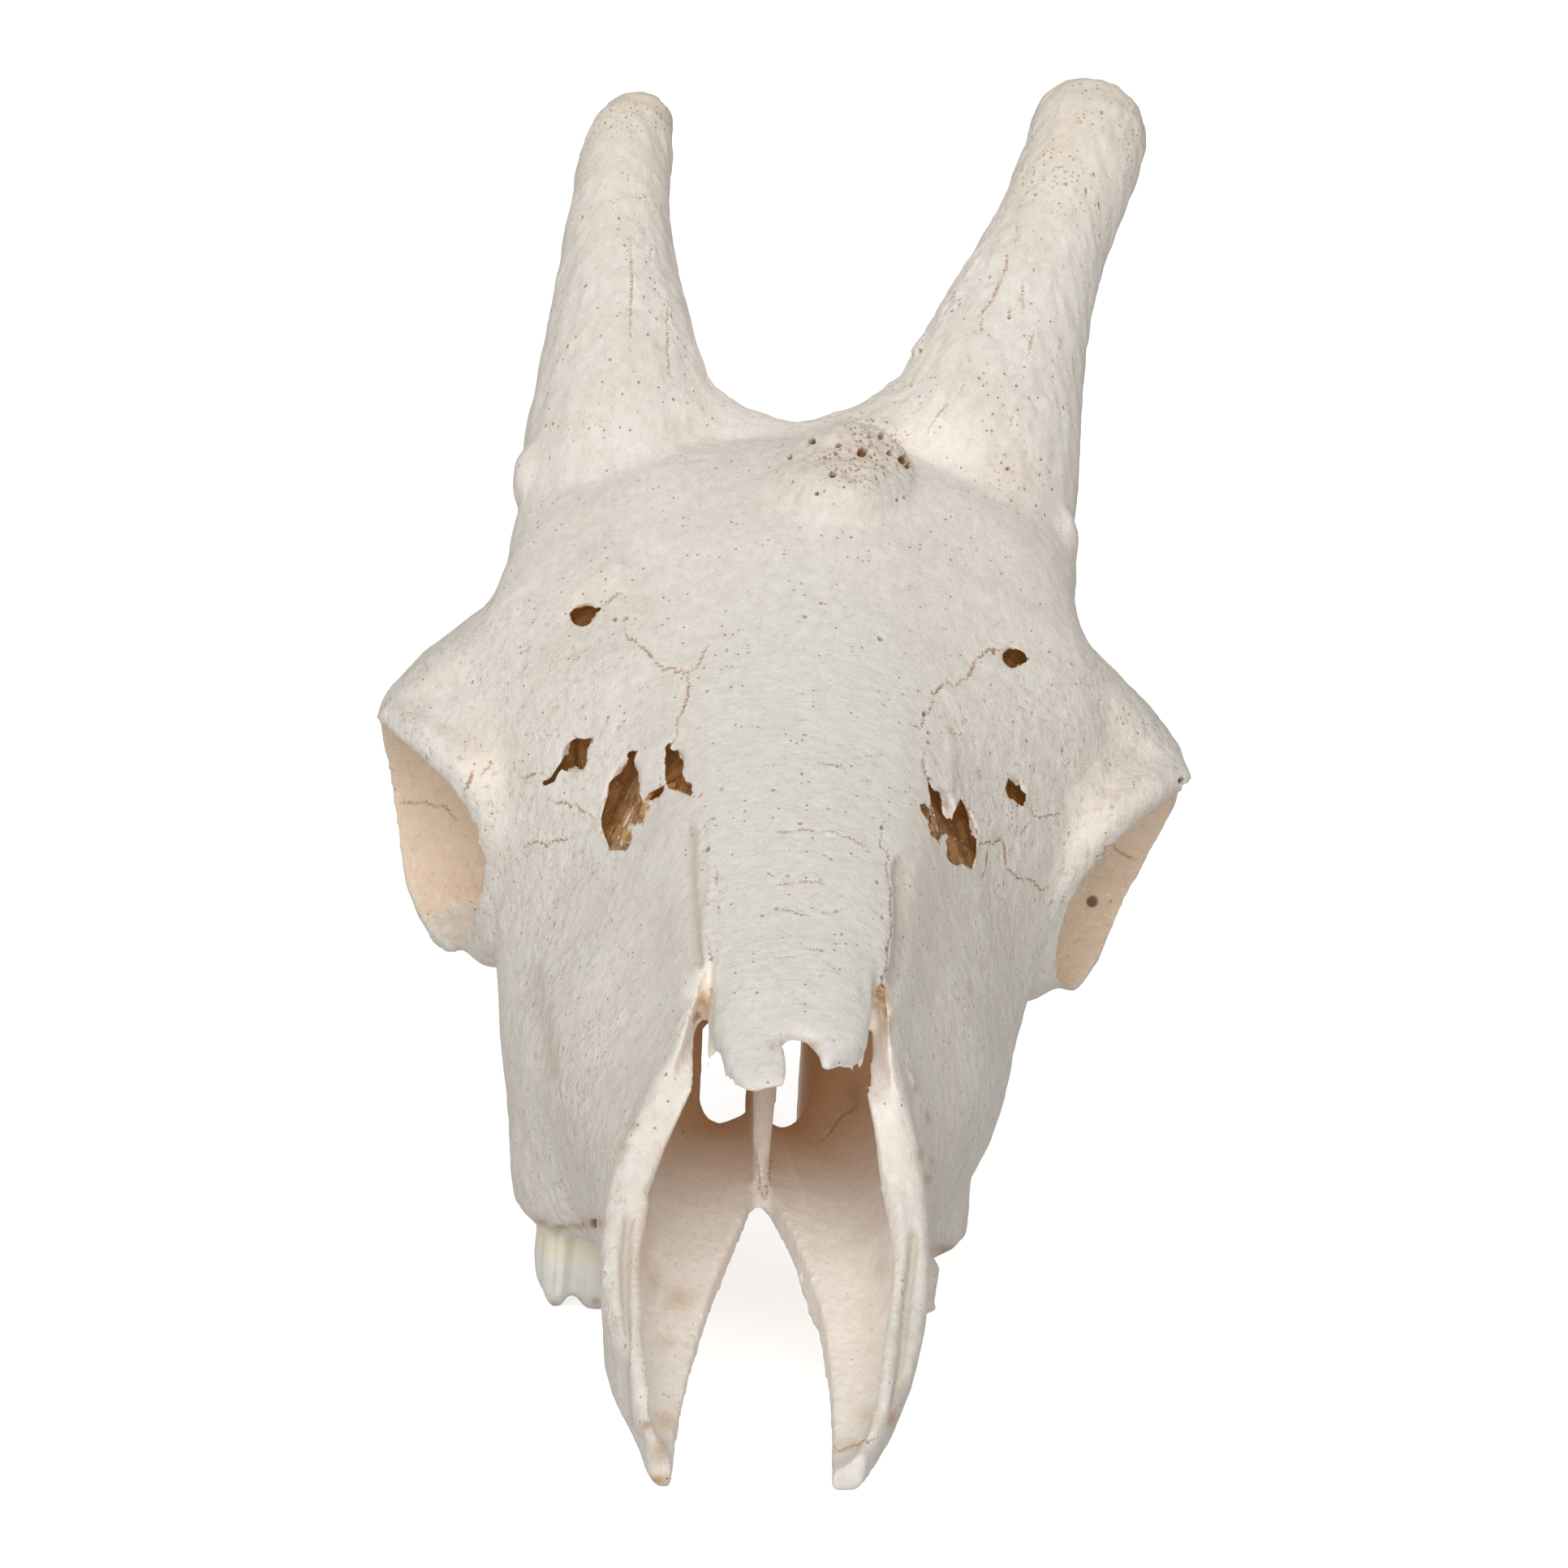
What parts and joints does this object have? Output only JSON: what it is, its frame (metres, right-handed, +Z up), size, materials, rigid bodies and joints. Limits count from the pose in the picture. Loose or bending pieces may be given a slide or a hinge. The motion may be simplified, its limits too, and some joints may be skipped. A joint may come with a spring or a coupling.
{
  "type": "giraffe skull",
  "caption": "Dry giraffe cranium without its lower jaw: long muzzle split into two blades, wide eye sockets, a low forehead knob and two blunt bony horns.",
  "frame": {"origin": "on the floor plane, under the middle of the skull's bounding box", "axes": "+Z up, -Y towards the nose, +X towards the animal's left side"},
  "size_m": [0.2532, 0.5363, 0.3592],
  "materials": {
    "bone_cream": "dry sun-bleached bone, matte",
    "bone_white": "whiter weathered bone with fine cracks, matte",
    "bone_shaded": "greyer beige bone, matte",
    "horn_core": "long-grained bone with porous tips, matte",
    "bone_tan": "thin tan bone, matte"
  },
  "bodies": {
    "root": {"braincase": "bone_shaded", "frontal": "bone_cream", "nasals": "bone_white", "maxilla_left": "bone_shaded", "maxilla_right": "bone_shaded", "zygomatic_left": "bone_cream", "zygomatic_right": "bone_cream", "ossicone_left": "horn_core", "ossicone_right": "horn_core", "vomer": "bone_tan"}
  },
  "joints": []
}
